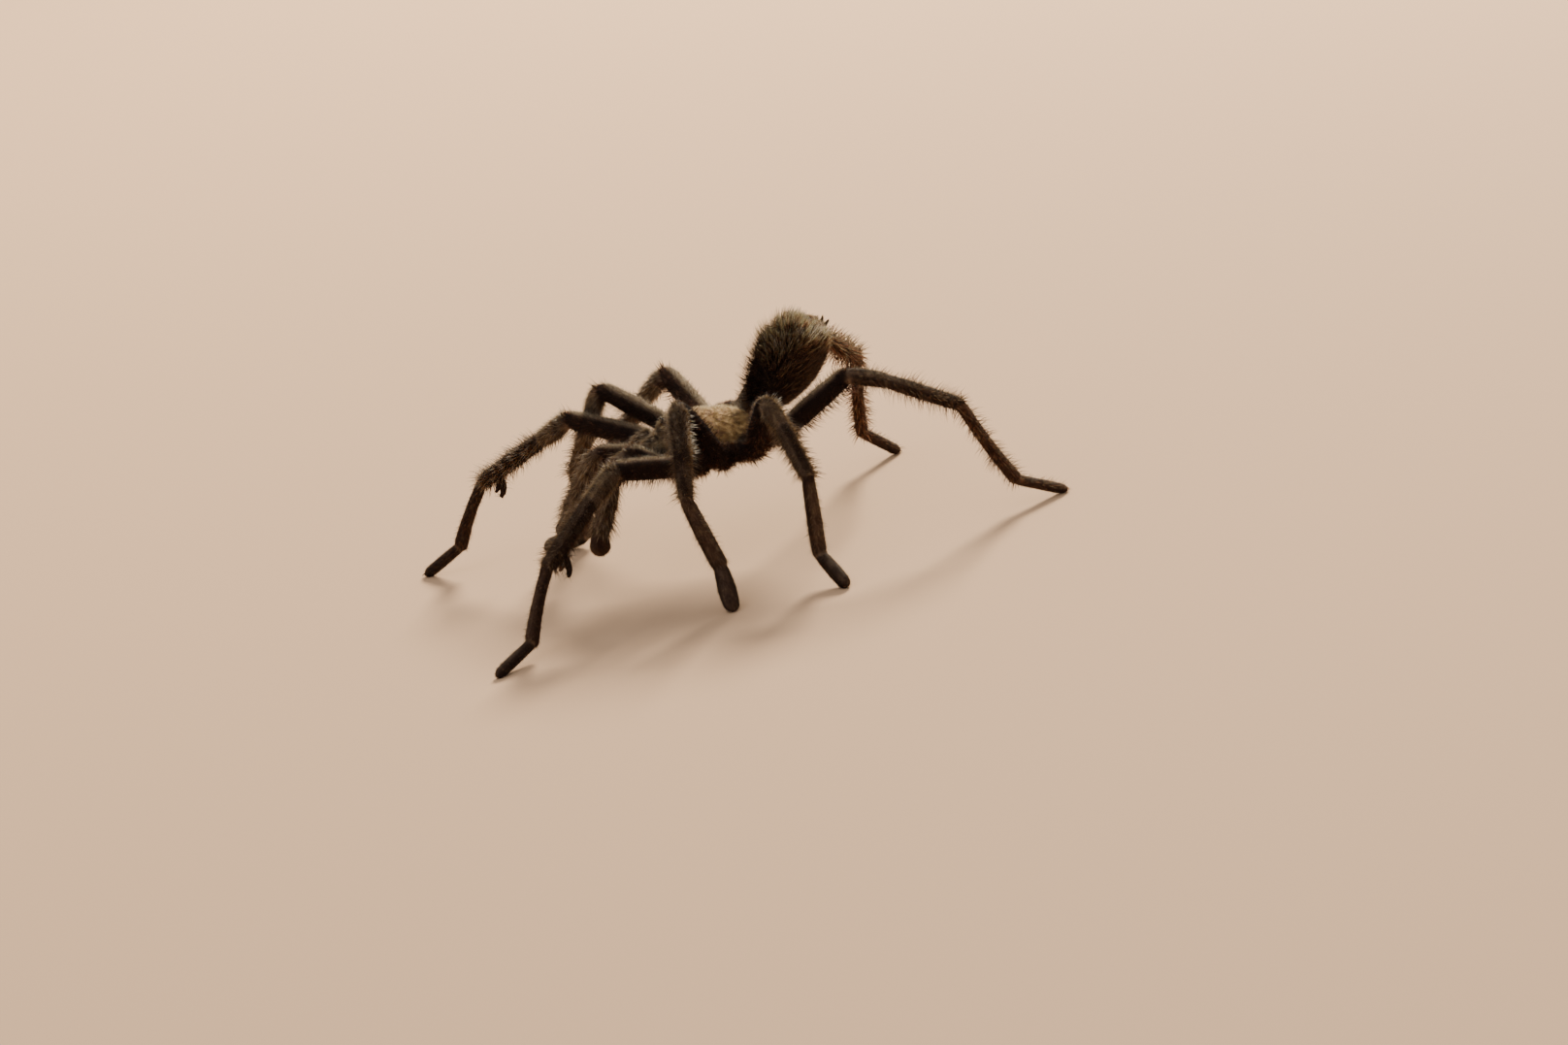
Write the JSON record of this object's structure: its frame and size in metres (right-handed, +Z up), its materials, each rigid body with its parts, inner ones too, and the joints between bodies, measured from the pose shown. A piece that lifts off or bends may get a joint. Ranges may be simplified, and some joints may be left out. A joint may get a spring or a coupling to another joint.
{
  "type": "tarantula",
  "caption": "Mature male desert tarantula standing in mid stride, with its hairy abdomen raised and hooked spurs under the tibiae of its front legs.",
  "frame": {"origin": "on the floor under the middle of the animal's box", "axes": "+Z up, -Y the way the animal faces, +X its left side"},
  "size_m": [0.0882, 0.1162, 0.0404],
  "materials": {
    "coat_dark": "near-black brown hair",
    "coat_leg": "dark olive-brown hair",
    "coat_hind_leg": "reddish brown hair",
    "coat_gold": "short gold-tan hair",
    "coat_chelicera": "streaked brown and pale hair",
    "horn": "glossy black-brown horn",
    "eye": "wet black gloss"
  },
  "bodies": {
    "root": {"carapace": "coat_gold", "eye_mound": "eye", "sternum": "coat_dark", "pedicel": "coat_dark", "abdomen": "coat_dark", "chelicera_left": "coat_chelicera", "fang_left": "horn", "spinneret_left": "coat_dark", "chelicera_right": "coat_chelicera", "fang_right": "horn", "spinneret_right": "coat_dark", "leg_left_1_coxa": "coat_leg", "leg_left_1_femur": "coat_leg", "leg_left_1_tibia": "coat_leg", "leg_left_1_metatarsus": "coat_leg", "leg_left_1_tarsus": "coat_leg", "leg_left_2_coxa": "coat_leg", "leg_left_2_femur": "coat_leg", "leg_left_2_tibia": "coat_leg", "leg_left_2_metatarsus": "coat_leg", "leg_left_2_tarsus": "coat_leg", "leg_left_3_coxa": "coat_leg", "leg_left_3_femur": "coat_leg", "leg_left_3_tibia": "coat_leg", "leg_left_3_metatarsus": "coat_leg", "leg_left_3_tarsus": "coat_leg", "leg_left_4_coxa": "coat_hind_leg", "leg_left_4_femur": "coat_hind_leg", "leg_left_4_tibia": "coat_hind_leg", "leg_left_4_metatarsus": "coat_hind_leg", "leg_left_4_tarsus": "coat_hind_leg", "palp_left_coxa": "coat_leg", "palp_left_femur": "coat_leg", "palp_left_tibia": "coat_leg", "palp_left_tarsus": "coat_leg", "leg_right_1_coxa": "coat_leg", "leg_right_1_femur": "coat_leg", "leg_right_1_tibia": "coat_leg", "leg_right_1_metatarsus": "coat_leg", "leg_right_1_tarsus": "coat_leg", "leg_right_2_coxa": "coat_leg", "leg_right_2_femur": "coat_leg", "leg_right_2_tibia": "coat_leg", "leg_right_2_metatarsus": "coat_leg", "leg_right_2_tarsus": "coat_leg", "leg_right_3_coxa": "coat_leg", "leg_right_3_femur": "coat_leg", "leg_right_3_tibia": "coat_leg", "leg_right_3_metatarsus": "coat_leg", "leg_right_3_tarsus": "coat_leg", "leg_right_4_coxa": "coat_hind_leg", "leg_right_4_femur": "coat_hind_leg", "leg_right_4_tibia": "coat_hind_leg", "leg_right_4_metatarsus": "coat_hind_leg", "leg_right_4_tarsus": "coat_hind_leg", "palp_right_coxa": "coat_leg", "palp_right_femur": "coat_leg", "palp_right_tibia": "coat_leg", "palp_right_tarsus": "coat_leg"}
  },
  "joints": []
}
